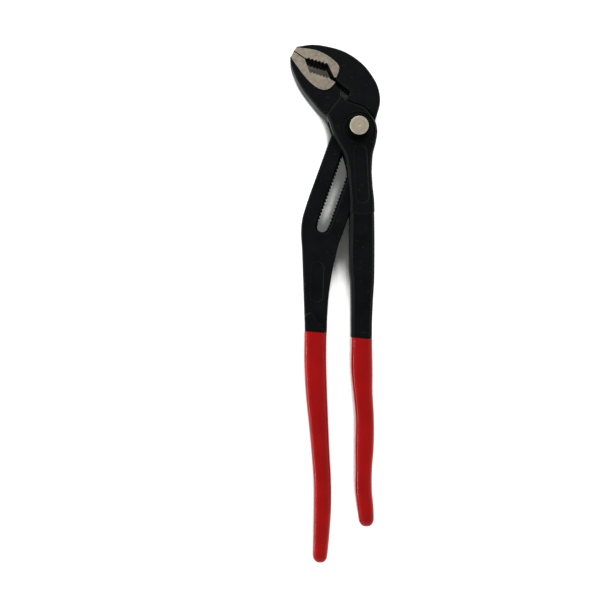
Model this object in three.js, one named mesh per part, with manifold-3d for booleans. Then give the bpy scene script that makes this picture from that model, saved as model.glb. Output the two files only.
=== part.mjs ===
// Push-button water-pump pliers with a box joint, lying flat.
// A slotted hook lever slides and turns in the window of a box lever.
// Millimetres, +Z up. The origin is on the joint's axis, on the plane the joint's rear face rests on.
// The jaws are at +Y, the handles run to -Y, and the button faces +Z.
import * as THREE from "three";
import { mergeVertices } from "three/addons/utils/BufferGeometryUtils.js";
import Module from "manifold-3d";

const wasm = await Module();
wasm.setup();

// ---------------------------------------------------------------- driving dimensions
const GAP = 0.3; // between pieces that slide or seat on each other
const EDGE = 0.9; // chamfer that the forging die leaves on the levers' edges
const CHEEK_EDGE = 1.4;
const HANDLE_EDGE = 2.2;

// Thicknesses, from the rear face of the box joint up.
const CHEEK = 6; // each cheek of the box
const ARM = 7.4; // the slotted arm between the cheeks
const JOINT_THICK = 2 * CHEEK + ARM + 2 * GAP;
const MID = JOINT_THICK / 2;
const JAW_THICK = 13.5;
const HANDLE_THICK = 12;
const LAND_PROUD = 0.8; // ground land above the jaw's side
const GRIP_THICK = 15.6;
const GRIP_WALL = 1.7;

// The adjusting slot, in the hook lever's own (n, u) frame.
// u runs along the slot and n across it to the right.
const SLOT_ANGLE = THREE.MathUtils.degToRad(70);
const SLOT_WIDTH = 12.2;
const SLOT_RIM = 0.5; // chamfer round the slot's front
const RACK_GAP = 8; // between the tips of the two racks
const RACK_PITCH = 2.8;
const RACK_DEPTH = 1.2;
const SETTINGS = 26; // steps of one rack tooth
const ARM_LEFT = 17.8; // from the slot's axis to the arm's edges
const ARM_RIGHT = 16.5;

// The hook lever's most turn against the box lever, which the box window leaves room for.
const OPENING = THREE.MathUtils.degToRad(40);

// The joint.
const BOLT_DIAMETER = 16;
const BOLT_HEAD = BOLT_DIAMETER + 3.6;
const BOLT_HEAD_THICK = 2.3;
const BUTTON_DIAMETER = 14;
const BUTTON_TOP = 10; // above the cheek
const BUTTON_TRAVEL = 3.8;
const STEM_DIAMETER = 4.6;
const SPRING_WIRE = 1.1;
const SPRING_DIAMETER = 8.2;
const SPRING_TURNS = 7;
const RING_DIAMETER = BOLT_DIAMETER + 4;
const COLLAR_DIAMETER = RING_DIAMETER + 5.8;
const COLLAR_THICK = 2.3;
const COLLAR_SUNK = 0.4; // the collar's face below the cheek's
const RING_THICK = 0.8;
const BLOCK_LENGTH = 8; // along the slot
const BLOCK_THICK = 3.4;

// Jaws.
const JAW_TEETH = 6;
const JAW_TOOTH_DEPTH = 1.2;
const PARTING = 0.3; // between the closed jaw tips

// The marking panel and the oval stamp seat, both left blank, with walls that slope at 45 degrees.
const PANEL_X = 2.6;
const PANEL_Y = -34.5;
const PANEL_TURN = 93; // degrees
const PANEL_WIDTH = 10.4;
const PANEL_LENGTH = 45;
const PANEL_DEPTH = 0.6;
const STAMP_X = -31.1;
const STAMP_Y = -116.6;
const STAMP_TURN = 88; // degrees
const STAMP_WIDTH = 10.2;
const STAMP_LENGTH = 32;
const STAMP_DEPTH = 0.5;

// ---------------------------------------------------------------- materials
const FORGED_BLACK = new THREE.MeshStandardMaterial({ color: 0x1b1d1e, roughness: 0.55, metalness: 0.6 });
const GROUND_STEEL = new THREE.MeshStandardMaterial({ color: 0x9a9184, roughness: 0.35, metalness: 1 });
const SPRING_STEEL = new THREE.MeshStandardMaterial({ color: 0x77787a, roughness: 0.3, metalness: 1 });
const DIPPED_RED = new THREE.MeshStandardMaterial({ color: 0xb5121b, roughness: 0.3, metalness: 0 });

// ---------------------------------------------------------------- geometry helpers
function solidOf(geometry) {
  const bare = geometry.clone();
  bare.deleteAttribute("normal");
  bare.deleteAttribute("uv");
  const merged = mergeVertices(bare, 1e-5);
  const mesh = new wasm.Mesh({
    numProp: 3,
    vertProperties: new Float32Array(merged.attributes.position.array),
    triVerts: new Uint32Array(merged.index.array),
  });
  return new wasm.Manifold(mesh);
}

function meshOf(name, solid, material) {
  const data = solid.getMesh();
  const count = data.vertProperties.length / data.numProp;
  const positions = new Float32Array(count * 3);
  for (let i = 0; i < count; i++) {
    positions.set(data.vertProperties.subarray(i * data.numProp, i * data.numProp + 3), i * 3);
  }
  const geometry = new THREE.BufferGeometry();
  geometry.setAttribute("position", new THREE.BufferAttribute(positions, 3));
  geometry.setIndex(new THREE.BufferAttribute(new Uint32Array(data.triVerts), 1));
  geometry.computeVertexNormals();
  const mesh = new THREE.Mesh(geometry, material);
  mesh.name = name;
  return mesh;
}

const CURVE_STEPS = 5; // straight pieces between two points of a smooth curve
const FLATNESS = 0.02; // a point this near the line between its neighbours is left out

// An outline's points: each step is a line to points, a smooth curve through points, or a row of teeth.
const line = (...points) => ({ kind: "line", points });
const curve = (...points) => ({ kind: "curve", points });
const teeth = (end, count, depth) => ({ kind: "teeth", end, count, depth });

function outline(start, ...steps) {
  const points = [new THREE.Vector2(...start)];
  for (const step of steps) {
    const last = points[points.length - 1];
    if (step.kind === "line") {
      step.points.forEach((p) => points.push(new THREE.Vector2(...p)));
    } else if (step.kind === "curve") {
      const through = [last, ...step.points.map((p) => new THREE.Vector2(...p))];
      const spline = new THREE.CatmullRomCurve3(through.map((p) => new THREE.Vector3(p.x, p.y, 0)));
      const sampled = spline.getPoints(CURVE_STEPS * (through.length - 1)).slice(1);
      points.push(...sampled.map((p) => new THREE.Vector2(p.x, p.y)));
    } else {
      points.push(...teethPoints(last, new THREE.Vector2(...step.end), step.count, step.depth));
    }
  }
  return withoutFlatPoints(points);
}

function withoutFlatPoints(points) {
  const kept = [];
  points.forEach((point, i) => {
    const before = kept.length ? kept[kept.length - 1] : points[points.length - 1];
    const after = points[(i + 1) % points.length];
    const chord = after.clone().sub(before);
    const off = Math.abs(chord.cross(point.clone().sub(before))) / chord.length();
    if (off > FLATNESS) kept.push(point);
  });
  return kept;
}

// Points of a toothed line from one point to another; the tips stand to its left by the depth.
function teethPoints(from, to, count, depth) {
  const along = to.clone().sub(from);
  const side = new THREE.Vector2(-along.y, along.x).normalize().multiplyScalar(depth);
  const points = [];
  for (let i = 0; i < count; i++) {
    points.push(from.clone().addScaledVector(along, (i + 0.5) / count).add(side));
    points.push(from.clone().addScaledVector(along, (i + 1) / count));
  }
  return points;
}

function plateGeometry(points, low, high, edge, edgeSteps) {
  const geometry = new THREE.ExtrudeGeometry(new THREE.Shape(points), {
    depth: high - low - 2 * edge,
    bevelEnabled: edge > 0,
    bevelThickness: edge,
    bevelSize: edge,
    bevelOffset: -edge,
    bevelSegments: edgeSteps,
  });
  geometry.translate(0, 0, low + edge);
  return geometry;
}

// A plate of an outline between two heights, with chamfered or rounded edges.
function plate(points, low, high, edge = 0, edgeSteps = 1) {
  return solidOf(plateGeometry(points, low, high, edge, edgeSteps));
}

// A chamfered plate about the middle plane whose half thickness changes evenly from one y to another.
function taperedPlate(points, edge, start, end) {
  const geometry = plateGeometry(points, -start.half, start.half, edge, 1);
  const position = geometry.attributes.position;
  for (let i = 0; i < position.count; i++) {
    const share = (position.getY(i) - start.y) / (end.y - start.y);
    const scale = 1 + (end.half / start.half - 1) * share;
    position.setZ(i, MID + position.getZ(i) * scale);
  }
  return solidOf(geometry);
}

function disc(diameter, low, high, segments = 40) {
  const geometry = new THREE.CylinderGeometry(diameter / 2, diameter / 2, high - low, segments);
  geometry.rotateX(Math.PI / 2);
  geometry.translate(0, 0, (low + high) / 2);
  return solidOf(geometry);
}

// A turned piece from its [radius, height] profile, about the joint's axis.
function turned(profile, segments = 40) {
  const points = profile.map(([radius, height]) => new THREE.Vector2(radius, height));
  const geometry = new THREE.LatheGeometry(points, segments);
  geometry.rotateX(Math.PI / 2);
  return solidOf(geometry);
}

// A block centred across the slot's frame, [n, u] half sizes, between two heights.
function slotBlock(halfN, halfU, low, high, centreU = 0) {
  const corners = [
    [-halfN, centreU - halfU],
    [halfN, centreU - halfU],
    [halfN, centreU + halfU],
    [-halfN, centreU + halfU],
  ];
  return plate(corners.map(([n, u]) => slotPoint(n, u)), low, high);
}

// From the slot's (n, u) frame to (x, y).
function slotPoint(n, u) {
  const c = Math.cos(SLOT_ANGLE);
  const s = Math.sin(SLOT_ANGLE);
  return new THREE.Vector2(u * c + n * s, u * s - n * c);
}
const slotXY = (n, u) => slotPoint(n, u).toArray();

// An oblong with round ends, along a direction given in degrees from +X.
function oblong(x, y, width, length, degrees) {
  const points = [];
  const turn = THREE.MathUtils.degToRad(degrees);
  const steps = 10;
  for (const end of [1, -1]) {
    for (let i = 0; i <= steps; i++) {
      const a = turn + (end > 0 ? -Math.PI / 2 : Math.PI / 2) + (Math.PI * i) / steps;
      const reach = (end * (length - width)) / 2;
      points.push(
        new THREE.Vector2(
          x + reach * Math.cos(turn) + (width / 2) * Math.cos(a),
          y + reach * Math.sin(turn) + (width / 2) * Math.sin(a),
        ),
      );
    }
  }
  return points;
}

// ---------------------------------------------------------------- handles and grips
// Each handle under its grip: the y of the mouth, the length down to where the round end starts,
// and stations of [share of the length, centre x, half width of the grip].
const HOOK_HANDLE = {
  mouthY: -155.4,
  length: 172.6,
  stations: [
    [0, -32.3, 9],
    [0.13, -32.5, 8.9],
    [0.28, -31.5, 8.6],
    [0.43, -29.7, 7.8],
    [0.55, -28.3, 7.3],
    [0.68, -27, 7.1],
    [0.79, -27, 7.1],
    [0.91, -27.8, 6.6],
    [1, -28.8, 6.1],
  ],
};
const BOX_HANDLE = {
  mouthY: -160.2,
  length: 139.8,
  stations: [
    [0, 3.6, 8.4],
    [0.19, 3.7, 8.6],
    [0.31, 4.5, 7.8],
    [0.42, 5.7, 7.5],
    [0.61, 5.6, 7.5],
    [0.73, 5, 6.8],
    [0.85, 5, 6.8],
    [0.94, 6.3, 6.7],
    [1, 7, 6.2],
  ],
};
const MOUTH_SLOPE = -0.09; // the grips' mouths dip to the right
const CORE_TUCK = 6; // the steel stops this far short of the grip's end

// The point on a grip's mouth line at an x, or some way below it.
function mouthPoint({ mouthY, stations }, x, below = 0) {
  return [x, mouthY + MOUTH_SLOPE * (x - stations[0][1]) - below];
}

// Everything of a lever from just above its grip's mouth down.
// It trims the bare handle square to the mouth.
function belowMouth(handle) {
  const middle = handle.stations[0][1];
  const reach = 30;
  const corners = [
    mouthPoint(handle, middle - reach, reach),
    mouthPoint(handle, middle + reach, reach),
    mouthPoint(handle, middle + reach, -GAP / 2),
    mouthPoint(handle, middle - reach, -GAP / 2),
  ];
  return plate(corners.map(([x, y]) => new THREE.Vector2(x, y)), -1, JOINT_THICK + 1);
}
const PLATE_TUCK = 4; // the bare handle's plates are drawn this far past the mouth, then trimmed

// A handle's body along its stations, narrower than its grip by the inset.
// Its section lies between an ellipse (squareness 1) and a rectangle (0).
// It starts some way above the mouth and ends some way short of the round end.
function handleBody(handle, { inset, halfThick, squareness, above = 0, shorter = 0 }) {
  const { mouthY, length, stations } = handle;
  const course = new THREE.CatmullRomCurve3(
    stations.map(([share, x, half]) => new THREE.Vector3(mouthY - share * length, x, half)),
  );
  const [, mouthX, mouthHalf] = stations[0];
  const shrink = 1 - shorter / length;
  const first = { y: mouthY + above, x: mouthX, half: mouthHalf - inset, thick: halfThick };
  const rows = above > 0 ? [first] : [];
  for (const point of course.getPoints(HANDLE_ROWS)) {
    const y = mouthY + (point.x - mouthY) * shrink;
    rows.push({ y, x: point.y, half: point.z - inset, thick: halfThick });
  }
  const last = rows[rows.length - 1];
  for (const degrees of [20, 40, 58, 72, 82]) {
    const a = THREE.MathUtils.degToRad(degrees);
    rows.push({
      y: last.y - last.half * Math.sin(a),
      x: last.x,
      half: last.half * Math.cos(a),
      thick: halfThick * Math.cos(a) ** 0.7,
    });
  }
  const geometry = new THREE.CylinderGeometry(1, 1, 1, HANDLE_SIDES, rows.length - 1);
  const position = geometry.attributes.position;
  const squared = (v) => (Math.abs(v) < 1e-6 ? 0 : Math.sign(v) * Math.abs(v) ** squareness);
  for (let i = 0; i < position.count; i++) {
    const row = rows[Math.round((0.5 - position.getY(i)) * (rows.length - 1))];
    const across = squared(position.getX(i)) * row.half;
    const up = squared(position.getZ(i)) * row.thick;
    const dip = row === rows[0] ? MOUTH_SLOPE * across : 0;
    position.setXYZ(i, row.x + across, row.y + dip, MID + up);
  }
  return solidOf(geometry);
}
const HANDLE_SIDES = 20;
const HANDLE_ROWS = 16;
const CORE_THIN = 0.6; // the steel under the grip is thinner than the bare handle by this on each side
const CORE_SQUARENESS = 0.4;

function grip(name, stations) {
  const outside = handleBody(stations, { inset: 0, halfThick: GRIP_THICK / 2, squareness: 0.62 });
  const inside = handleBody(stations, {
    inset: GRIP_WALL,
    halfThick: HANDLE_THICK / 2 - CORE_THIN + GAP,
    squareness: CORE_SQUARENESS,
    above: 5,
    shorter: CORE_TUCK - GAP,
  });
  return meshOf(name, outside.subtract(inside), DIPPED_RED);
}

function handleCore(stations) {
  return handleBody(stations, {
    inset: GRIP_WALL + GAP,
    halfThick: HANDLE_THICK / 2 - CORE_THIN,
    squareness: CORE_SQUARENESS,
    above: 3,
    shorter: CORE_TUCK,
  });
}

// ---------------------------------------------------------------- hook lever
// The gripping side of each jaw meets along this line from the tips back.
const TIP = [-49.1, 60.4];
const PART_END = [-40.5, 54.6];

// The head without its land: the gripping side stands back inside the land's teeth.
function hookHeadOutline() {
  return outline(
    [-46.9, 64.3],
    curve(
      [-35, 65.9],
      [-24.9, 64.8],
      [-9.8, 60.4],
      [3.6, 51.3],
      [11.2, 42],
      [15.9, 32.8],
      [17.4, 21.5],
      [13.9, 8.2],
    ),
    line([11.3, 11.4]),
    curve([5.8, 17.2], [1.2, 19.3], [-2.7, 20.4], [-8.8, 22.9]),
    line([-5.4, 30], [-16.3, 37.8], [-17.2, 41.5], [-21.5, 51.5], [-38.5, 56.6], [-45.5, 61]),
  );
}

function hookLandOutline() {
  const up = PARTING / 2;
  return outline(
    [TIP[0], TIP[1] + up],
    line([-46.9, 63.4]),
    curve(
      [-32.1, 61.3],
      [-26.1, 58.8],
      [-20.3, 55.2],
      [-15.9, 51.4],
      [-13.9, 47.8],
      [-14.8, 43.3],
      [-16.3, 39.8],
    ),
    line([-18.2, 39.8], [-22.8, 49.4]),
    teeth([-39, 54.2], JAW_TEETH, -JAW_TOOTH_DEPTH),
    line([PART_END[0], PART_END[1] + up]),
  );
}

// The slotted arm and the bare handle, down to the grip's mouth.
function hookArmOutline() {
  return outline(
    [13.3, 8.6],
    line([13.3, -11.7], slotXY(ARM_RIGHT, -88)),
    curve(
      [-16.8, -97.5],
      [-18.7, -105.9],
      [-21.7, -124.5],
      [-23.2, -144],
      mouthPoint(HOOK_HANDLE, -23.6, PLATE_TUCK),
    ),
    line(mouthPoint(HOOK_HANDLE, -40.4, PLATE_TUCK)),
    curve(
      [-41.1, -133.8],
      [-41.9, -110.5],
      [-42.7, -91.8],
      [-43.5, -77.8],
      [-42.5, -67.5],
      slotXY(-ARM_LEFT, -60),
    ),
    line(slotXY(-ARM_LEFT, 15), [-9.3, 23.4], [-5.4, 30], [0, 34], [10, 30]),
  );
}

// The swelling above the grip, where the arm's plate grows to the handle's thickness.
function hookShoulderOutline() {
  return outline(
    mouthPoint(HOOK_HANDLE, -23.6, PLATE_TUCK),
    line(mouthPoint(HOOK_HANDLE, -40.4, PLATE_TUCK), [-40.8, -144]),
    curve(
      [-39.4, -141.4],
      [-35.6, -140.2],
      [-32.6, -142.6],
      [-30.4, -147],
      [-27.8, -151.4],
      [-24.8, -154],
    ),
  );
}

// The slot: plain and wide in the front half of the arm, with a rack on both sides in the rear half.
const TRAVEL = SETTINGS * RACK_PITCH;

// A round-ended cut along the slot's axis, between two places on it.
function slotOblong(width, bottom, top, low, high, edge = 0) {
  const [x, y] = slotXY(0, (bottom + top) / 2);
  const points = oblong(x, y, width, top - bottom, THREE.MathUtils.radToDeg(SLOT_ANGLE));
  return plate(points, low, high, edge);
}

// How far a round-ended slot of a width runs past the bolt's axis to clear the corners of the bolt's flats.
function slotReach(width) {
  const half = width / 2;
  const flat = half - GAP;
  const corner = Math.sqrt((BOLT_DIAMETER / 2) ** 2 - flat ** 2);
  return Math.max(BOLT_DIAMETER / 2, corner + half - Math.sqrt(half ** 2 - flat ** 2)) + GAP;
}

// The plain slot from a height up through the arm's front face, with a chamfered rim there.
function slotCut(low, face) {
  const top = slotReach(SLOT_WIDTH);
  const bottom = -TRAVEL - top - SLOT_SPARE;
  const rimWidth = SLOT_WIDTH + 2 * SLOT_RIM;
  const rimLow = face - SLOT_RIM;
  return slotOblong(SLOT_WIDTH, bottom, top, low, face + 1)
    .add(slotOblong(rimWidth, bottom - SLOT_RIM, top + SLOT_RIM, rimLow, face + 2, SLOT_RIM));
}
const SLOT_SPARE = 1.1; // plain slot beyond the last setting

function rackCut(low, high) {
  const tip = RACK_GAP / 2;
  const root = tip + RACK_DEPTH;
  const count = SETTINGS + 3;
  const start = (-TRAVEL - count * RACK_PITCH) / 2;
  const end = (-TRAVEL + count * RACK_PITCH) / 2;
  const points = outline(
    slotXY(root, start),
    teeth(slotXY(root, end), count, root - tip),
    line(slotXY(-root, end)),
    teeth(slotXY(-root, start), count, root - tip),
  );
  const reach = slotReach(RACK_GAP);
  return plate(points, low, high).add(slotOblong(RACK_GAP, -TRAVEL - reach, reach, low, high));
}

function hookLever() {
  const half = JAW_THICK / 2;
  const armLow = MID - ARM / 2;
  const armHigh = MID + ARM / 2;
  const handleHalf = HANDLE_THICK / 2;
  const stamp = oblong(STAMP_X, STAMP_Y, STAMP_WIDTH, STAMP_LENGTH, STAMP_TURN);
  return plate(hookHeadOutline(), MID - half, MID + half, EDGE)
    .add(plate(hookLandOutline(), MID - half - LAND_PROUD, MID + half + LAND_PROUD, 0.3))
    .add(plate(hookArmOutline(), armLow, armHigh, EDGE))
    .add(plate(hookShoulderOutline(), MID - handleHalf, MID + handleHalf, 1.4, 2))
    .subtract(belowMouth(HOOK_HANDLE))
    .add(handleCore(HOOK_HANDLE))
    .subtract(slotCut(MID - GAP, armHigh))
    .subtract(rackCut(armLow - 1, MID))
    .subtract(plate(stamp, armHigh - STAMP_DEPTH, armHigh + 2, STAMP_DEPTH));
}

// ---------------------------------------------------------------- box lever
function cheekOutline() {
  return outline(
    [-24.2, 11.2],
    line([-13.2, 25.7], [-9.2, 22.3]),
    curve(
      [-2.9, 19.7],
      [1, 18.6],
      [5.3, 16.5],
      [13, 6.6],
      [14.9, -1],
      [13.7, -10.2],
      [11.4, -19.3],
      [10.6, -33],
    ),
    curve([11.4, -44.4], [12.5, -54], [12.8, -63]),
    curve([9.6, -65], [4.6, -65.9], [-1.6, -65.2], [-5.7, -63.4]),
    line([-5.6, -53.8]),
    curve([-6.5, -43], [-7.7, -29.3], [-10, -19.5], [-16, -8.6], [-18.9, -2.6], [-21.6, 5.6]),
  );
}

function boxJawOutline() {
  return outline(
    [-50.3, 57.6],
    line([-41, 52.4], [-37.6, 43.2], [-21.4, 37.3], [-17, 35.6]),
    line([-13.6, 30.6], [-13.2, 24], [-12, 14], [-20, 4], [-23.2, 9.6]),
    curve([-28.9, 15], [-36.7, 24.3], [-43.6, 33.4], [-48.3, 42.5], [-51.7, 51.7], [-51.9, 56.4]),
  );
}

function boxLandOutline() {
  const down = PARTING / 2;
  return outline(
    [TIP[0], TIP[1] - down],
    line([PART_END[0], PART_END[1] - down], [-36.8, 44.3], [-36.2, 43.8]),
    teeth([-21.1, 39], JAW_TEETH, JAW_TOOTH_DEPTH),
    line([-16.8, 36.5]),
    curve(
      [-19.2, 33.4],
      [-21.8, 31.3],
      [-25.4, 30.2],
      [-30.6, 31.6],
      [-34.9, 34.6],
      [-40.1, 39.7],
      [-49.3, 52.1],
    ),
    line([-51.5, 55.4]),
  );
}

function boxHandleOutline() {
  return outline(
    [-5.4, HANDLE_START],
    line([12.2, HANDLE_START]),
    curve(
      [12.8, -66],
      [12.9, -115],
      [12.1, -129],
      [11.3, -148],
      mouthPoint(BOX_HANDLE, 11.2, PLATE_TUCK),
    ),
    line(mouthPoint(BOX_HANDLE, -4.6, PLATE_TUCK)),
    curve([-5, -115], [-5.8, -108], [-5.8, -66]),
  );
}
const HANDLE_START = -56; // the bare handle runs up into the cheeks as far as this
const STEP_HALF_THICK = 9.3; // half the handle's thickness where it leaves the cheeks

// The window between the cheeks: walls along the arm at rest.
// It is open where the arm swings out to the left.
function windowOutline() {
  const left = -(ARM_LEFT + GAP);
  const right = ARM_RIGHT + 0.4;
  const swungAt = (ARM_LEFT + GAP) * Math.tan(OPENING / 2);
  const far = 40;
  const reach = 30;
  const swungEnd = [left - reach * Math.cos(OPENING), swungAt - reach * Math.sin(OPENING) * SWING_SLOPE];
  return [
    slotPoint(right, -75),
    slotPoint(right, WEB_TOP),
    slotPoint(far, WEB_TOP),
    slotPoint(far, far),
    slotPoint(left, far),
    slotPoint(left, swungAt),
    slotPoint(...swungEnd),
    slotPoint(swungEnd[0], -75),
  ];
}
const WEB_TOP = -15;
const SWING_SLOPE = 1 / Math.tan(OPENING) / Math.tan(OPENING);

function boxLever() {
  const half = JAW_THICK / 2;
  const panel = oblong(PANEL_X, PANEL_Y, PANEL_WIDTH, PANEL_LENGTH, PANEL_TURN);
  const step = { y: HANDLE_START, half: STEP_HALF_THICK };
  const mouth = { y: BOX_HANDLE.mouthY, half: HANDLE_THICK / 2 };
  return plate(cheekOutline(), 0, JOINT_THICK, CHEEK_EDGE)
    .add(plate(boxJawOutline(), MID - half, MID + half, EDGE))
    .add(plate(boxLandOutline(), MID - half - LAND_PROUD, MID + half + LAND_PROUD, 0.3))
    .add(taperedPlate(boxHandleOutline(), HANDLE_EDGE, step, mouth))
    .subtract(belowMouth(BOX_HANDLE))
    .add(handleCore(BOX_HANDLE))
    .subtract(plate(windowOutline(), CHEEK, JOINT_THICK - CHEEK))
    .subtract(disc(BOLT_DIAMETER + 2 * GAP, -1, JOINT_THICK + 1))
    .subtract(disc(BOLT_HEAD + 2 * GAP, -1, BOLT_HEAD_THICK + GAP))
    .subtract(disc(COLLAR_DIAMETER + 2 * GAP, COLLAR_LOW - GAP, JOINT_THICK + 1))
    .subtract(disc(RING_DIAMETER + 2 * GAP, RING_LOW - GAP, JOINT_THICK + 1))
    .subtract(plate(panel, JOINT_THICK - PANEL_DEPTH, JOINT_THICK + 2, PANEL_DEPTH));
}

// ---------------------------------------------------------------- joint pieces
const COLLAR_LOW = JOINT_THICK - COLLAR_SUNK - COLLAR_THICK;
const BUTTON_LOW = JOINT_THICK + 1;
const BOLT_HIGH = BUTTON_LOW - BUTTON_TRAVEL - GAP;
const RING_HIGH = BOLT_HIGH - 0.9;
const RING_LOW = RING_HIGH - RING_THICK;
const BLOCK_HIGH = MID - 0.1;
const BLOCK_LOW = BLOCK_HIGH - BLOCK_THICK;
const SPRING_SEAT = MID + 2;
const BUTTON_HIGH = JOINT_THICK + BUTTON_TOP;
const BUTTON_ROOF = 3; // over the spring

function jointBolt() {
  const flatFront = SLOT_WIDTH / 2 - GAP;
  const flatRear = RACK_GAP / 2 - GAP;
  const armLow = CHEEK;
  const armHigh = JOINT_THICK - CHEEK;
  const radius = BOLT_DIAMETER / 2;
  const sides = (flat, low, high) => {
    const far = radius + 2;
    const cutter = (sign) => {
      const points = [
        slotPoint(sign * flat, -far),
        slotPoint(sign * far, -far),
        slotPoint(sign * far, far),
        slotPoint(sign * flat, far),
      ];
      return plate(sign > 0 ? points : points.reverse(), low, high);
    };
    return cutter(1).add(cutter(-1));
  };
  return turned([
    [0, 0],
    [BOLT_HEAD / 2 - 0.5, 0],
    [BOLT_HEAD / 2, 0.5],
    [BOLT_HEAD / 2, BOLT_HEAD_THICK],
    [radius, BOLT_HEAD_THICK],
    [radius, RING_LOW - GAP],
    [radius - 1.1, RING_LOW - GAP],
    [radius - 1.1, RING_HIGH + GAP],
    [radius, RING_HIGH + GAP],
    [radius, BOLT_HIGH],
    [0, BOLT_HIGH],
  ])
    .subtract(sides(flatFront, MID, armHigh))
    .subtract(sides(flatRear, armLow, MID))
    .subtract(
      slotBlock(
        flatRear + GAP,
        BLOCK_LENGTH / 2 + GAP,
        BLOCK_LOW - BUTTON_TRAVEL - GAP,
        BLOCK_HIGH + GAP,
      ),
    )
    .subtract(disc(STEM_DIAMETER + 2 * GAP, BLOCK_HIGH, BOLT_HIGH + 1, 24))
    .subtract(disc(SPRING_DIAMETER + 2 * GAP, SPRING_SEAT - GAP, BOLT_HIGH + 1, 32));
}

// The toothed block that locks into both racks, drawn just clear of their tips.
function lockBlock() {
  const tip = RACK_GAP / 2 - GAP;
  const root = tip - RACK_DEPTH;
  const half = BLOCK_LENGTH / 2;
  const count = Math.floor(BLOCK_LENGTH / RACK_PITCH);
  const points = outline(
    slotXY(root, -half),
    line(slotXY(root, half)),
    line(slotXY(-root, half), slotXY(-root, -half)),
  );
  const toothed = (sign) => {
    const row = outline(
      slotXY(sign * root, -sign * half),
      teeth(slotXY(sign * root, sign * half), count, -RACK_DEPTH),
      line(slotXY(0, sign * half), slotXY(0, -sign * half)),
    );
    return plate(row, BLOCK_LOW, BLOCK_HIGH);
  };
  return plate(points, BLOCK_LOW, BLOCK_HIGH)
    .add(toothed(1))
    .add(toothed(-1))
    .subtract(disc(SPIGOT_DIAMETER + 2 * GAP, BLOCK_LOW - 1, BLOCK_HIGH + 1, 20));
}
const SPIGOT_DIAMETER = 2.6;

function pushButton() {
  const radius = BUTTON_DIAMETER / 2;
  const stem = STEM_DIAMETER / 2;
  const well = SPRING_DIAMETER / 2 + GAP;
  return turned([
    [0, BLOCK_LOW + 0.5],
    [SPIGOT_DIAMETER / 2, BLOCK_LOW + 0.5],
    [SPIGOT_DIAMETER / 2, BLOCK_HIGH + GAP],
    [stem, BLOCK_HIGH + GAP],
    [stem, BUTTON_HIGH - BUTTON_ROOF],
    [well, BUTTON_HIGH - BUTTON_ROOF],
    [well, BUTTON_LOW],
    [radius - 0.3, BUTTON_LOW],
    [radius, BUTTON_LOW + 0.3],
    [radius, BUTTON_HIGH - 0.8],
    [radius - 0.8, BUTTON_HIGH],
    [0, BUTTON_HIGH],
  ]);
}

class Helix extends THREE.Curve {
  constructor(radius, low, high, turns) {
    super();
    Object.assign(this, { radius, low, high, turns });
  }
  getPoint(t, target = new THREE.Vector3()) {
    const angle = 2 * Math.PI * this.turns * t;
    const height = this.low + (this.high - this.low) * t;
    return target.set(this.radius * Math.cos(angle), this.radius * Math.sin(angle), height);
  }
}

function buttonSpring() {
  const wire = SPRING_WIRE / 2;
  const radius = SPRING_DIAMETER / 2 - wire;
  const low = SPRING_SEAT + wire;
  const high = BUTTON_HIGH - BUTTON_ROOF - GAP - wire;
  const section = new THREE.Shape();
  section.absarc(0, 0, wire, 0, 2 * Math.PI);
  const geometry = new THREE.ExtrudeGeometry(section, {
    steps: SPRING_TURNS * 12,
    curveSegments: 3,
    extrudePath: new Helix(radius, low, high, SPRING_TURNS),
    bevelEnabled: false,
  });
  return solidOf(geometry);
}

function buttonCollar() {
  const bore = BUTTON_DIAMETER / 2 + 0.6;
  const radius = COLLAR_DIAMETER / 2;
  const high = COLLAR_LOW + COLLAR_THICK;
  return turned([
    [bore, COLLAR_LOW],
    [radius, COLLAR_LOW],
    [radius, high - 0.5],
    [radius - 0.5, high],
    [bore + 0.4, high],
    [bore, high - 0.4],
    [bore, COLLAR_LOW],
  ]);
}

function retainingRing() {
  const bore = BOLT_DIAMETER / 2 - 1.1 + GAP;
  const ring = turned([
    [bore, RING_LOW],
    [RING_DIAMETER / 2, RING_LOW],
    [RING_DIAMETER / 2, RING_HIGH],
    [bore, RING_HIGH],
    [bore, RING_LOW],
  ]);
  return ring.subtract(slotBlock(2, RING_DIAMETER / 2, RING_LOW - 1, RING_HIGH + 1, -RING_DIAMETER / 2));
}

// ---------------------------------------------------------------- assembly
const pliers = new THREE.Group();

const boxSide = new THREE.Group();
boxSide.add(meshOf("box_lever", boxLever(), FORGED_BLACK));
boxSide.add(grip("box_lever_grip", BOX_HANDLE));

const hookSide = new THREE.Group();
hookSide.add(meshOf("hook_lever", hookLever(), FORGED_BLACK));
hookSide.add(grip("hook_lever_grip", HOOK_HANDLE));

const joint = new THREE.Group();
joint.add(meshOf("joint_bolt", jointBolt(), FORGED_BLACK));
joint.add(meshOf("retaining_ring", retainingRing(), SPRING_STEEL));
joint.add(meshOf("button_collar", buttonCollar(), FORGED_BLACK));
joint.add(meshOf("push_button", pushButton(), GROUND_STEEL));
joint.add(meshOf("lock_block", lockBlock(), GROUND_STEEL));
joint.add(meshOf("button_spring", buttonSpring(), SPRING_STEEL));

pliers.add(boxSide, hookSide, joint);

export default pliers;
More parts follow.
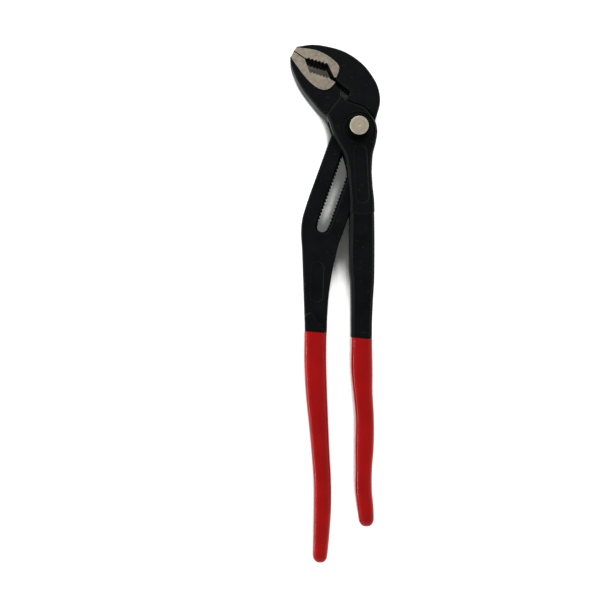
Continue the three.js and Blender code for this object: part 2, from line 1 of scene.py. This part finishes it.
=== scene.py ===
import bmesh
import bpy
import numpy as np
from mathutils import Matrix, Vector


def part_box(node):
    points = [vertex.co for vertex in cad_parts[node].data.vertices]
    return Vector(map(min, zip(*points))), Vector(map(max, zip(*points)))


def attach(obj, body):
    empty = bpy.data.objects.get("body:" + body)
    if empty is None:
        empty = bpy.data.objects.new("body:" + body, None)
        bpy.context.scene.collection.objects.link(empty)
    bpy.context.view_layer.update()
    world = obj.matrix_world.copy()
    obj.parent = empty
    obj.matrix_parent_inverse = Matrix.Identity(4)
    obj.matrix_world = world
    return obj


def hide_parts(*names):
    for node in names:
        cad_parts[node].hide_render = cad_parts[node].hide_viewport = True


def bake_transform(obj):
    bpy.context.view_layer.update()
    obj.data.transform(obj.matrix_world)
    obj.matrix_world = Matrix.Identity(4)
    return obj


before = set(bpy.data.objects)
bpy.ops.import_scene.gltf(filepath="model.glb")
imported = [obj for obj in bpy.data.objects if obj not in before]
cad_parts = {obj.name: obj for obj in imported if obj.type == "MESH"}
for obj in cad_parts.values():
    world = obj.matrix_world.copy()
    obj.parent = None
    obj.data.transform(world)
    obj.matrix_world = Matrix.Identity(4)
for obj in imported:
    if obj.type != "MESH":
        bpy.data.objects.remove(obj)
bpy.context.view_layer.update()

MM = 0.001

# ---------------------------------------------------------------- studio
# The pliers lie on a pale table under a camera that looks straight down on the joint's side.
# A low, narrow soft box to the left and a wider one beyond the jaws light the edges that face them.
# The table glows with painted light of its own where it lies open, and not where the tool hems it in,
# which leaves painted shade in the slot and the gaps.


def linear(hex_code, alpha=1.0):
    """An sRGB hex colour as linear red, green, blue and alpha."""
    srgb = np.array([int(hex_code[i : i + 2], 16) / 255 for i in (1, 3, 5)])
    rgb = np.where(srgb <= 0.04045, srgb / 12.92, ((srgb + 0.055) / 1.055) ** 2.4)
    return (*rgb.tolist(), alpha)


def add_node(tree, kind, inputs=None, **settings):
    """Adds a node, sets its settings, and fills each input with a value or a link."""
    node = tree.nodes.new(kind)
    for name, value in settings.items():
        setattr(node, name, value)
    for name, value in (inputs or {}).items():
        if isinstance(value, bpy.types.NodeSocket):
            tree.links.new(value, node.inputs[name])
        else:
            node.inputs[name].default_value = value
    return node


def new_material(name):
    """A named material with an empty node tree, and the tree."""
    material = bpy.data.materials.new(name)
    material.use_nodes = True
    material.node_tree.nodes.clear()
    return material, material.node_tree


CAMERA_PLACE_MM = (-44.3, -130.7, 490.0)
CAMERA_LENS_MM = 36.96
camera_data = bpy.data.cameras.new("studio_camera")
camera_data.lens = CAMERA_LENS_MM
camera_data.sensor_width = 36.0
camera = bpy.data.objects.new("studio_camera", camera_data)
camera.location = Vector(CAMERA_PLACE_MM) * MM
bpy.context.scene.collection.objects.link(camera)
bpy.context.scene.camera = camera
bpy.context.scene.view_settings.view_transform = "Standard"

FLOOR_HALF = 2.5  # metres
FLOOR_LEVEL = -0.6 * MM
floor_mesh = bpy.data.meshes.new("pale_table")
corners = [(-1, -1), (1, -1), (1, 1), (-1, 1)]
floor_points = [(x * FLOOR_HALF, y * FLOOR_HALF, FLOOR_LEVEL) for x, y in corners]
floor_mesh.from_pydata(floor_points, [], [(0, 1, 2, 3)])
floor = bpy.data.objects.new("pale_table", floor_mesh)
bpy.context.scene.collection.objects.link(floor)
table_paint_and_glow, tree = new_material("matt_white_laminate_with_painted_glow")
speckle = add_node(tree, "ShaderNodeTexNoise", {"Scale": 400.0, "Detail": 2.0}).outputs["Fac"]
# Painted light and shade: the table's emission follows its ambient occlusion, full where it lies open and
# none in the slot and gaps under the tool.
openness = add_node(tree, "ShaderNodeAmbientOcclusion", {"Distance": 0.02}, samples=32).outputs["AO"]
backlight = add_node(
    tree, "ShaderNodeMapRange", {"Value": openness, "From Min": 0.48, "From Max": 0.54, "To Max": 1.0}
).outputs["Result"]
laminate = add_node(
    tree, "ShaderNodeMix", {0: speckle, 6: linear("#c3c4c1"), 7: linear("#cdcecb")}, data_type="RGBA"
).outputs[2]
shader = add_node(
    tree,
    "ShaderNodeBsdfPrincipled",
    {
        "Base Color": laminate,
        "Roughness": 0.9,
        "Emission Color": linear("#fcfcfb"),
        "Emission Strength": backlight,
    },
)
add_node(tree, "ShaderNodeOutputMaterial", {"Surface": shader.outputs["BSDF"]})
floor_mesh.materials.append(table_paint_and_glow)

# The air glows softly all round and less overhead, so level faces stay dark and sloping ones are lit.
world = bpy.data.worlds.new("studio_air")
bpy.context.scene.world = world
world.use_nodes = True
tree = world.node_tree
tree.nodes.clear()
direction = add_node(tree, "ShaderNodeTexCoord").outputs["Generated"]
height = add_node(tree, "ShaderNodeSeparateXYZ", {"Vector": direction}).outputs["Z"]
glow = add_node(
    tree,
    "ShaderNodeMapRange",
    {"Value": height, "From Min": 0.5, "From Max": 0.95, "To Min": 1.0, "To Max": 0.36},
).outputs["Result"]
air = add_node(tree, "ShaderNodeBackground", {"Strength": glow})
add_node(tree, "ShaderNodeOutputWorld", {"Surface": air.outputs["Background"]})

# Each soft box: place in metres, size, and power in watts.
SOFT_BOXES = {
    "key_soft_box": ((-1.5, -0.1, 0.45), (1.8, 0.07), 8),
    "top_soft_box": ((-0.6, 1.5, 0.9), (1.2, 0.5), 13),
}
LIGHT_TARGET = Vector((-0.02, -0.12, 0.0))
for name, (place, size, power) in SOFT_BOXES.items():
    lamp = bpy.data.lights.new(name, "AREA")
    lamp.shape = "RECTANGLE"
    lamp.size, lamp.size_y = size
    lamp.energy = power
    holder = bpy.data.objects.new(name, lamp)
    holder.location = place
    aim = LIGHT_TARGET - Vector(place)
    holder.rotation_euler = aim.to_track_quat("-Z", "Y").to_euler()
    bpy.context.scene.collection.objects.link(holder)

# ---------------------------------------------------------------- box lever
# The lever with the lower jaw, the two cheeks of the box, the window between them and the right handle.
# Drop forged chrome vanadium steel, blasted and black oxidised, with its jaw land ground bare.


def black_oxide_material():
    """Black oxide over a blasted forging: a satin near-black with faint blue-grey clouds and a fine grain.
    It has a few short handling scratches, and its edges are painted a little lighter, partly as wear and
    partly as a painted highlight."""
    material, tree = new_material("black_oxide_blasted_forging")
    place = add_node(tree, "ShaderNodeTexCoord").outputs["Object"]
    clouds = add_node(
        tree, "ShaderNodeTexNoise", {"Vector": place, "Scale": 1 / (16 * MM), "Detail": 4.0}
    ).outputs["Fac"]
    grain = add_node(tree, "ShaderNodeTexNoise", {"Vector": place, "Scale": 1 / (0.6 * MM), "Detail": 2.0})
    slanted = add_node(
        tree, "ShaderNodeMapping", {"Vector": place, "Rotation": (0, 0, 0.5), "Scale": (1, 9, 1)}
    )
    marks = add_node(
        tree,
        "ShaderNodeTexNoise",
        {"Vector": slanted.outputs["Vector"], "Scale": 1 / (5 * MM), "Detail": 1.0, "Roughness": 0.2},
    )
    scratches = add_node(
        tree,
        "ShaderNodeMapRange",
        {"Value": marks.outputs["Fac"], "From Min": 0.76, "From Max": 0.78, "To Max": 0.3},
    )
    # The edges are painted lighter all round: partly rubbed wear, partly a painted highlight for the light
    # the chamfers catch.
    rounded = add_node(tree, "ShaderNodeBevel", {"Radius": 0.45 * MM}, samples=6)
    flatness = add_node(
        tree,
        "ShaderNodeVectorMath",
        {0: rounded.outputs["Normal"], 1: add_node(tree, "ShaderNodeNewGeometry").outputs["Normal"]},
        operation="DOT_PRODUCT",
    )
    worn_and_highlit_edges = add_node(
        tree,
        "ShaderNodeMapRange",
        {"Value": flatness.outputs["Value"], "From Min": 0.995, "From Max": 0.9, "To Max": 0.6},
    )
    shade = add_node(tree, "ShaderNodeMapRange", {"Value": clouds, "From Min": 0.35, "From Max": 0.65})
    base = add_node(
        tree,
        "ShaderNodeMix",
        {0: shade.outputs["Result"], 6: linear("#07090a"), 7: linear("#0c0f10")},
        data_type="RGBA",
    )
    wear_and_highlight_mixed = add_node(
        tree,
        "ShaderNodeMix",
        {0: worn_and_highlit_edges.outputs["Result"], 6: base.outputs[2], 7: linear("#3a3b3c")},
        data_type="RGBA",
    )
    scratched = add_node(
        tree,
        "ShaderNodeMix",
        {0: scratches.outputs["Result"], 6: wear_and_highlight_mixed.outputs[2], 7: linear("#55534e")},
        data_type="RGBA",
    )
    gloss = add_node(
        tree,
        "ShaderNodeMapRange",
        {"Value": clouds, "From Min": 0.3, "From Max": 0.7, "To Min": 0.42, "To Max": 0.56},
    )
    bump = add_node(
        tree, "ShaderNodeBump", {"Height": grain.outputs["Fac"], "Strength": 0.22, "Distance": 0.05 * MM}
    )
    shader = add_node(
        tree,
        "ShaderNodeBsdfPrincipled",
        {
            "Base Color": scratched.outputs[2],
            "Roughness": gloss.outputs["Result"],
            "Specular IOR Level": 0.1,
            "Normal": bump.outputs["Normal"],
        },
    )
    add_node(tree, "ShaderNodeOutputMaterial", {"Surface": shader.outputs["BSDF"]})
    return material


def ground_steel_material():
    """Bare steel off a belt grinder: warm grey with fine parallel marks, drawn coarse enough to show.
    Darker stained patches and an uneven sheen lie over them."""
    material, tree = new_material("belt_ground_bare_steel")
    place = add_node(tree, "ShaderNodeTexCoord").outputs["Object"]
    slanted = add_node(
        tree, "ShaderNodeMapping", {"Vector": place, "Rotation": (0, 0, 0.55), "Scale": (1, 12, 1)}
    )
    marks = add_node(
        tree,
        "ShaderNodeTexNoise",
        {"Vector": slanted.outputs["Vector"], "Scale": 1 / (4 * MM), "Detail": 5.0, "Roughness": 0.7},
    ).outputs["Fac"]
    patches = add_node(
        tree,
        "ShaderNodeTexNoise",
        {"Vector": place, "Scale": 1 / (2.4 * MM), "Detail": 4.0, "Roughness": 0.65},
    ).outputs["Fac"]
    streaked = add_node(tree, "ShaderNodeMapRange", {"Value": marks, "From Min": 0.3, "From Max": 0.7})
    stained = add_node(
        tree, "ShaderNodeMapRange", {"Value": patches, "From Min": 0.45, "From Max": 0.68, "To Max": 0.75}
    )
    base = add_node(
        tree,
        "ShaderNodeMix",
        {0: streaked.outputs["Result"], 6: linear("#aba191"), 7: linear("#cbc0ad")},
        data_type="RGBA",
    )
    toned = add_node(
        tree,
        "ShaderNodeMix",
        {0: stained.outputs["Result"], 6: base.outputs[2], 7: linear("#91887b")},
        data_type="RGBA",
    )
    sheen = add_node(
        tree,
        "ShaderNodeMapRange",
        {"Value": marks, "From Min": 0.3, "From Max": 0.7, "To Min": 0.42, "To Max": 0.56},
    )
    bump = add_node(tree, "ShaderNodeBump", {"Height": marks, "Strength": 0.25, "Distance": 0.04 * MM})
    shader = add_node(
        tree,
        "ShaderNodeBsdfPrincipled",
        {
            "Base Color": toned.outputs[2],
            "Metallic": 1.0,
            "Roughness": sheen.outputs["Result"],
            "Normal": bump.outputs["Normal"],
        },
    )
    add_node(tree, "ShaderNodeOutputMaterial", {"Surface": shader.outputs["BSDF"]})
    return material


def solid_copy(node_name, piece_name, edge_mm, edge_steps=3, sharp_degrees=22):
    """A merged copy of a CAD solid with its flat faces whole and its edges rounded."""
    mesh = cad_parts[node_name].data.copy()
    mesh.materials.clear()
    work = bmesh.new()
    work.from_mesh(mesh)
    bmesh.ops.remove_doubles(work, verts=work.verts, dist=0.002 * MM)
    bmesh.ops.dissolve_limit(work, angle_limit=np.radians(0.7), verts=work.verts, edges=work.edges)
    work.to_mesh(mesh)
    work.free()
    mesh.name = piece_name
    piece = bpy.data.objects.new(piece_name, mesh)
    bpy.context.scene.collection.objects.link(piece)
    bevel = piece.modifiers.new("rounded_edges", "BEVEL")
    bevel.width = edge_mm * MM
    bevel.segments = edge_steps
    bevel.limit_method = "ANGLE"
    bevel.angle_limit = np.radians(sharp_degrees)
    bevel.miter_outer = "MITER_ARC"
    return piece


def polygon_normals(mesh):
    """The polygons' normals as an n x 3 array."""
    normals = np.zeros(len(mesh.polygons) * 3)
    mesh.polygons.foreach_get("normal", normals)
    return normals.reshape(-1, 3)


def apply_modifiers(piece):
    """Makes a piece's modifiers part of its mesh, shades the level faces flat and the rest smooth."""
    graph = bpy.context.evaluated_depsgraph_get()
    baked = bpy.data.meshes.new_from_object(piece.evaluated_get(graph), depsgraph=graph)
    piece.modifiers.clear()
    piece.data = baked
    baked.shade_smooth()
    baked.set_sharp_from_angle(angle=np.radians(35))
    level = np.abs(polygon_normals(baked)[:, 2]) > 0.98
    baked.polygons.foreach_set("use_smooth", ~level)


JOINT_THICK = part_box("box_lever")[1][2]
MID = JOINT_THICK / 2
LAND_LEVEL_MM = 7.1  # the land's side stands further than this from the tool's middle plane
LAND_START_Y_MM = 28.5


def paint_land(piece):
    """Gives the ground steel to the level faces of the raised jaw land, and black to the rest."""
    polygons = piece.data.polygons
    centres = np.zeros(len(polygons) * 3)
    polygons.foreach_get("center", centres)
    centres = centres.reshape(-1, 3)
    proud = np.abs(centres[:, 2] - MID) > LAND_LEVEL_MM * MM
    in_jaw = centres[:, 1] > LAND_START_Y_MM * MM
    level = np.abs(polygon_normals(piece.data)[:, 2]) > 0.9
    polygons.foreach_set("material_index", (proud & in_jaw & level).astype(np.int32))


black_oxide = black_oxide_material()
ground_steel = ground_steel_material()

box_forging = solid_copy("box_lever", "box_lever_forging", edge_mm=0.35)
apply_modifiers(box_forging)
box_forging.data.materials.append(black_oxide)
box_forging.data.materials.append(ground_steel)
paint_land(box_forging)
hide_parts("box_lever")
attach(box_forging, "box_lever")

# ---------------------------------------------------------------- hook lever
# The lever that carries the hooked upper jaw: a flat arm with the toothed slot, and the left handle.
# The same forging and finish as the box lever.

hook_forging = solid_copy("hook_lever", "hook_lever_forging", edge_mm=0.35)
apply_modifiers(hook_forging)
hook_forging.data.materials.append(black_oxide)
hook_forging.data.materials.append(ground_steel)
paint_land(hook_forging)
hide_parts("hook_lever")
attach(hook_forging, "hook_lever")

# ---------------------------------------------------------------- joint bolt, collar and ring
# The bolt turns in both cheeks and its flats slide in the slot.
# The collar and the open ring hold it at the front.
# Turned steel, black oxidised like the levers; the ring is bare spring steel.


def spring_steel_material():
    """Cold drawn spring wire: bright grey with fine lengthwise draw marks."""
    material, tree = new_material("drawn_spring_steel")
    place = add_node(tree, "ShaderNodeTexCoord").outputs["Object"]
    drawn = add_node(tree, "ShaderNodeMapping", {"Vector": place, "Scale": (1, 1, 6)}).outputs["Vector"]
    marks = add_node(tree, "ShaderNodeTexNoise", {"Vector": drawn, "Scale": 1 / (1.5 * MM), "Detail": 3.0})
    base = add_node(
        tree,
        "ShaderNodeMix",
        {0: marks.outputs["Fac"], 6: linear("#6f7072"), 7: linear("#acadae")},
        data_type="RGBA",
    )
    sheen = add_node(
        tree,
        "ShaderNodeMapRange",
        {"Value": marks.outputs["Fac"], "From Min": 0.3, "From Max": 0.7, "To Min": 0.25, "To Max": 0.38},
    )
    bump = add_node(
        tree, "ShaderNodeBump", {"Height": marks.outputs["Fac"], "Strength": 0.15, "Distance": 0.02 * MM}
    )
    shader = add_node(
        tree,
        "ShaderNodeBsdfPrincipled",
        {
            "Base Color": base.outputs[2],
            "Metallic": 1.0,
            "Roughness": sheen.outputs["Result"],
            "Normal": bump.outputs["Normal"],
        },
    )
    add_node(tree, "ShaderNodeOutputMaterial", {"Surface": shader.outputs["BSDF"]})
    return material


def surface_piece(grid, name, material, rows_wrap=False):
    """A piece from a rows x columns x 3 grid of points in metres, in which each row is a closed ring.
    The last row joins the first where rows_wrap is set. Otherwise a face closes each end."""
    count, around = grid.shape[:2]
    spans = count if rows_wrap else count - 1
    row, column = np.meshgrid(np.arange(spans), np.arange(around), indexing="ij")
    onward, following = (row + 1) % count, (column + 1) % around
    near_left, near_right = row * around + column, row * around + following
    far_left, far_right = onward * around + column, onward * around + following
    faces = np.stack([near_left, near_right, far_right, far_left], axis=-1).reshape(-1, 4).tolist()
    if not rows_wrap:
        ring = np.arange(around)
        faces += [ring[::-1].tolist(), (ring + (count - 1) * around).tolist()]
    mesh = bpy.data.meshes.new(name)
    mesh.from_pydata(grid.reshape(-1, 3).tolist(), [], faces)
    work = bmesh.new()
    work.from_mesh(mesh)
    bmesh.ops.remove_doubles(work, verts=work.verts, dist=1e-7)
    bmesh.ops.recalc_face_normals(work, faces=work.faces)
    work.to_mesh(mesh)
    work.free()
    mesh.shade_smooth()
    mesh.set_sharp_from_angle(angle=np.radians(35))
    mesh.materials.append(material)
    piece = bpy.data.objects.new(name, mesh)
    bpy.context.scene.collection.objects.link(piece)
    return piece


def rounded_profile(corners, radius_mm, steps=4):
    """A profile of [radius, height] corners in millimetres, with every corner but the ends rounded.
    A corner becomes a quadratic curve from one side to the next that starts radius_mm back from it."""
    corners = np.array(corners, float)
    points = [corners[0]]
    for before, corner, after in zip(corners[:-2], corners[1:-1], corners[2:]):
        back = min(radius_mm, np.linalg.norm(before - corner) / 2)
        on = min(radius_mm, np.linalg.norm(after - corner) / 2)
        start = corner + (before - corner) / np.linalg.norm(before - corner) * back
        end = corner + (after - corner) / np.linalg.norm(after - corner) * on
        t = np.linspace(0, 1, steps + 1)[:, None]
        points.extend((1 - t) ** 2 * start + 2 * t * (1 - t) * corner + t**2 * end)
    points.append(corners[-1])
    return np.array(points)


def turned_grid(profile_mm, around=96):
    """A profile of [radius, height] carried round the joint's axis."""
    turn = np.linspace(0, 2 * np.pi, around, endpoint=False)
    radius, height = profile_mm[:, 0, None], profile_mm[:, 1, None]
    flat = np.broadcast_to(height, (len(profile_mm), around))
    return np.stack([radius * np.cos(turn), radius * np.sin(turn), flat], axis=-1) * MM


spring_steel = spring_steel_material()

bolt = solid_copy("joint_bolt", "joint_bolt_turned", edge_mm=0.25, edge_steps=2)
apply_modifiers(bolt)
bolt.data.materials.append(black_oxide)
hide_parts("joint_bolt")
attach(bolt, "joint_bolt")

collar_low, collar_high = (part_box("button_collar")[i][2] / MM for i in (0, 1))
collar_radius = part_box("button_collar")[1][0] / MM
button_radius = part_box("push_button")[1][0] / MM
collar_bore = button_radius + 0.6
collar_profile = rounded_profile(
    [
        [collar_bore, (collar_low + collar_high) / 2],
        [collar_bore, collar_low],
        [collar_radius, collar_low],
        [collar_radius, collar_high - 0.25],
        [collar_radius - 0.7, collar_high],
        [collar_bore + 2.0, collar_high],
        [collar_bore + 1.4, collar_high - 0.35],
        [collar_bore, collar_high - 0.35],
        [collar_bore, (collar_low + collar_high) / 2],
    ],
    0.2,
)
collar_rings = turned_grid(collar_profile)[:-1]
collar = surface_piece(collar_rings, "button_collar_turned", black_oxide, rows_wrap=True)
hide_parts("button_collar")
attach(collar, "joint_collar")

ring = solid_copy("retaining_ring", "retaining_ring_open", edge_mm=0.15, edge_steps=2)
apply_modifiers(ring)
ring.data.materials.append(spring_steel)
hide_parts("retaining_ring")
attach(ring, "joint_collar")

# ---------------------------------------------------------------- push button, spring and lock block
# The button is black with a bare faced top and a small centre mark. Its stem carries the lock block down.
# The spring round the stem is wound from drawn wire.


def turned_face_material():
    """Bare steel faced on a lathe: warm grey, with faint rings about the axis and a satin sheen."""
    material, tree = new_material("lathe_faced_bare_steel")
    place = add_node(tree, "ShaderNodeTexCoord").outputs["Object"]
    rings = add_node(
        tree,
        "ShaderNodeTexWave",
        {"Vector": place, "Scale": 1 / (2.2 * MM * 2 * np.pi), "Distortion": 0.6, "Detail": 2.0},
        wave_type="RINGS",
        rings_direction="Z",
    ).outputs["Fac"]
    clouds = add_node(
        tree, "ShaderNodeTexNoise", {"Vector": place, "Scale": 1 / (3 * MM), "Detail": 3.0}
    ).outputs["Fac"]
    base = add_node(
        tree, "ShaderNodeMix", {0: clouds, 6: linear("#c2b6a1"), 7: linear("#e2d6c0")}, data_type="RGBA"
    )
    sheen = add_node(tree, "ShaderNodeMapRange", {"Value": rings, "To Min": 0.46, "To Max": 0.54})
    bump = add_node(tree, "ShaderNodeBump", {"Height": rings, "Strength": 0.1, "Distance": 0.02 * MM})
    shader = add_node(
        tree,
        "ShaderNodeBsdfPrincipled",
        {
            "Base Color": base.outputs[2],
            "Metallic": 1.0,
            "Roughness": sheen.outputs["Result"],
            "Normal": bump.outputs["Normal"],
        },
    )
    add_node(tree, "ShaderNodeOutputMaterial", {"Surface": shader.outputs["BSDF"]})
    return material


def paint_face(piece, level):
    """Gives the piece's second material to its faces above a height, and the first to the rest."""
    polygons = piece.data.polygons
    centres = np.zeros(len(polygons) * 3)
    polygons.foreach_get("center", centres)
    polygons.foreach_set("material_index", (centres[2::3] > level).astype(np.int32))


BARE_FACE_DEPTH_MM = 0.28
button_steel = turned_face_material()
button_low_corner, button_high_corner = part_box("push_button")
button_foot, button_top = button_low_corner[2] / MM, button_high_corner[2] / MM
block_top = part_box("lock_block")[1][2] / MM
spring_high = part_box("button_spring")[1][2] / MM
button_roof = spring_high + 0.3
button_skirt = JOINT_THICK / MM + 1
button_profile = rounded_profile(
    [
        [0.02, button_foot],
        [1.3, button_foot],
        [1.3, block_top + 0.3],
        [2.3, block_top + 0.3],
        [2.3, button_roof],
        [4.4, button_roof],
        [4.4, button_skirt],
        [button_radius - 0.1, button_skirt],
        [button_radius, button_skirt + 0.4],
        [button_radius, button_top - 0.3],
        [button_radius - 0.25, button_top],
        [0.8, button_top - 0.03],
        [0.5, button_top - 0.14],
        [0.02, button_top - 0.18],
    ],
    0.14,
)
button = surface_piece(turned_grid(button_profile), "push_button_turned", black_oxide)
button.data.materials.append(button_steel)
paint_face(button, (button_top - BARE_FACE_DEPTH_MM) * MM)
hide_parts("push_button")
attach(button, "push_button")

block = solid_copy("lock_block", "lock_block_milled", edge_mm=0.15, edge_steps=2)
apply_modifiers(block)
block.data.materials.append(ground_steel)
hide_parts("lock_block")
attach(block, "push_button")

SPRING_TURNS = 7
WIRE_RADIUS_MM = 0.55


def wire_helix(low_mm, high_mm, radius_mm, turns, per_turn=40, around=12):
    """Rings of points round a wire whose middle climbs a helix about the joint's axis.
    Its height is held over most of the first and last turn, so that the ends lie flat."""
    t = np.linspace(0, 1, turns * per_turn + 1)[:, None]
    lead = 1 / turns
    climb = np.clip((t - lead * 0.8) / (1 - lead * 1.6), 0, 1)
    turn = 2 * np.pi * turns * t
    middle = low_mm + WIRE_RADIUS_MM + (high_mm - low_mm - 2 * WIRE_RADIUS_MM) * climb
    circle = np.linspace(0, 2 * np.pi, around, endpoint=False)[None, :]
    out = radius_mm + WIRE_RADIUS_MM * np.cos(circle)
    height = middle + WIRE_RADIUS_MM * np.sin(circle)
    return np.stack([out * np.cos(turn), out * np.sin(turn), height], axis=-1) * MM


spring_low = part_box("button_spring")[0][2] / MM
spring_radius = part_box("button_spring")[1][0] / MM - WIRE_RADIUS_MM
spring = surface_piece(
    wire_helix(spring_low, spring_high, spring_radius, SPRING_TURNS), "button_spring_wire", spring_steel
)
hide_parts("button_spring")
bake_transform(spring)

# ---------------------------------------------------------------- dipped grips
# Each handle is dipped hot into liquid PVC, which leaves a glossy skin with soft edges and a round end.
# The skin thins to a small rolled lip at the mouth.


def dipped_pvc_material():
    """Dipped PVC: a deep red gloss with a slight orange peel, faint clouds of colour and dulled smears."""
    material, tree = new_material("glossy_dipped_red_pvc")
    place = add_node(tree, "ShaderNodeTexCoord").outputs["Object"]
    clouds = add_node(
        tree, "ShaderNodeTexNoise", {"Vector": place, "Scale": 1 / (22 * MM), "Detail": 3.0}
    ).outputs["Fac"]
    peel = add_node(tree, "ShaderNodeTexNoise", {"Vector": place, "Scale": 1 / (3 * MM), "Detail": 1.0})
    lengthwise = add_node(tree, "ShaderNodeMapping", {"Vector": place, "Scale": (1, 0.25, 1)})
    smears = add_node(
        tree,
        "ShaderNodeTexNoise",
        {"Vector": lengthwise.outputs["Vector"], "Scale": 1 / (6 * MM), "Detail": 3.0},
    )
    shade = add_node(tree, "ShaderNodeMapRange", {"Value": clouds, "From Min": 0.35, "From Max": 0.65})
    base = add_node(
        tree,
        "ShaderNodeMix",
        {0: shade.outputs["Result"], 6: linear("#a40304"), 7: linear("#b20506")},
        data_type="RGBA",
    )
    gloss = add_node(
        tree,
        "ShaderNodeMapRange",
        {"Value": smears.outputs["Fac"], "From Min": 0.3, "From Max": 0.7, "To Min": 0.1, "To Max": 0.17},
    )
    bump = add_node(
        tree, "ShaderNodeBump", {"Height": peel.outputs["Fac"], "Strength": 0.12, "Distance": 0.2 * MM}
    )
    shader = add_node(
        tree,
        "ShaderNodeBsdfPrincipled",
        {
            "Base Color": base.outputs[2],
            "Roughness": gloss.outputs["Result"],
            "Specular IOR Level": 0.27,
            "Normal": bump.outputs["Normal"],
        },
    )
    add_node(tree, "ShaderNodeOutputMaterial", {"Surface": shader.outputs["BSDF"]})
    return material


# Stations down each handle, in millimetres: y, centre x, half width of the grip.
HOOK_GRIP = [
    (-155.4, -32.3, 9.0),
    (-177.8, -32.5, 8.9),
    (-203.7, -31.5, 8.6),
    (-229.6, -29.7, 7.8),
    (-250.3, -28.3, 7.3),
    (-272.8, -27.0, 7.1),
    (-291.8, -27.0, 7.1),
    (-312.5, -27.8, 6.6),
    (-328.0, -28.8, 6.1),
]
BOX_GRIP = [
    (-160.2, 3.6, 8.4),
    (-186.8, 3.7, 8.6),
    (-203.5, 4.5, 7.8),
    (-218.9, 5.7, 7.5),
    (-245.5, 5.6, 7.5),
    (-262.3, 5.0, 6.8),
    (-279.0, 5.0, 6.8),
    (-291.6, 6.3, 6.7),
    (-300.0, 7.0, 6.2),
]
MOUTH_SLOPE = -0.09
GRIP_HALF_THICK_MM = 7.75
GRIP_WALL_MM = 1.85
CORE_HALF_THICK_MM = 5.5


def smooth_stations(stations, count):
    """Stations resampled evenly down the handle, on a smooth cubic through them.
    It is the Hermite curve whose slope at each station is a difference between the stations beside it."""
    table = np.array(stations, float)
    length = -table[:, 0]
    slope = np.gradient(table[:, 1:], length, axis=0)
    at = np.linspace(length[0], length[-1], count)
    i = np.clip(np.searchsorted(length, at) - 1, 0, len(length) - 2)
    h = (length[i + 1] - length[i])[:, None]
    t = (at[:, None] - length[i][:, None]) / h
    value = (
        (2 * t**3 - 3 * t**2 + 1) * table[i, 1:]
        + (t**3 - 2 * t**2 + t) * h * slope[i]
        + (3 * t**2 - 2 * t**3) * table[i + 1, 1:]
        + (t**3 - t**2) * h * slope[i + 1]
    )
    return np.column_stack([-at, value])


def section_rows(y, centre, half, thick, squareness, around=72):
    """Superellipse sections about the middle plane: x is the centre plus half times cos to the squareness.
    z is thick times sin to the squareness."""
    turn = np.linspace(0, 2 * np.pi, around, endpoint=False)
    c, s = np.cos(turn), np.sin(turn)
    across = np.sign(c) * np.abs(c) ** squareness
    up = np.sign(s) * np.abs(s) ** squareness
    x = centre[:, None] + half[:, None] * across
    z = MID / MM + thick[:, None] * up
    return np.stack([x, np.broadcast_to(y[:, None], x.shape), z], axis=-1) * MM


def dipped_grip(stations, name, body):
    """The grip's skin as one closed surface: up the inside, over the lip, down the outside, round the end.
    Near the mouth a point moves along y by the slope times its x from the middle, fading down the grip."""
    table = smooth_stations(stations, 90)
    y, centre, half = table.T
    inside = table[y > y[-1] + 8][::-1]
    inner_thick = np.full(len(inside), CORE_HALF_THICK_MM)
    inner = section_rows(inside[:, 0], inside[:, 1], inside[:, 2] - GRIP_WALL_MM, inner_thick, 0.42)
    lip_turn = np.radians([15, 40, 65, 90, 120, 150])
    lip_depth = 0.55 * (1 - np.sin(lip_turn)) - 0.15
    spread = np.interp(lip_turn, [0, np.pi], [GRIP_WALL_MM, 0])
    lip_half = half[0] - spread
    lip_thick = np.interp(lip_turn, [0, np.pi], [CORE_HALF_THICK_MM, GRIP_HALF_THICK_MM - 0.35])
    lip = section_rows(y[0] - lip_depth - 0.15, np.full(6, centre[0]), lip_half, lip_thick, 0.5)
    roll = np.exp(-(((y[0] - y) - 2.2) / 1.8) ** 2)
    settle = 1 - np.exp(-(y[0] - y) / 9.0)
    outer_thick = GRIP_HALF_THICK_MM - 0.35 + 0.35 * settle
    outer_half = half - 0.25 * (1 - settle) - 0.12 + 0.12 * roll
    outer = section_rows(y[1:], centre[1:], outer_half[1:], outer_thick[1:], 0.6)
    end_turn = np.radians(np.linspace(8, 89, 16))
    end_y = y[-1] - half[-1] * np.sin(end_turn)
    end = section_rows(
        end_y,
        np.full(16, centre[-1]),
        outer_half[-1] * np.cos(end_turn) ** 0.92,
        outer_thick[-1] * np.cos(end_turn) ** 0.62,
        0.66,
    )
    grid = np.concatenate([inner, lip, outer, end])
    below = y[0] - grid[..., 1] / MM
    grid[..., 1] += MOUTH_SLOPE * (grid[..., 0] - centre[0] * MM) * np.exp(-np.maximum(below, 0) / 4)
    piece = surface_piece(grid, name, dipped_pvc)
    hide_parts(body + "_grip")
    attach(piece, body)
    return piece


dipped_pvc = dipped_pvc_material()
dipped_grip(BOX_GRIP, "box_lever_dipped_grip", "box_lever")
dipped_grip(HOOK_GRIP, "hook_lever_dipped_grip", "hook_lever")
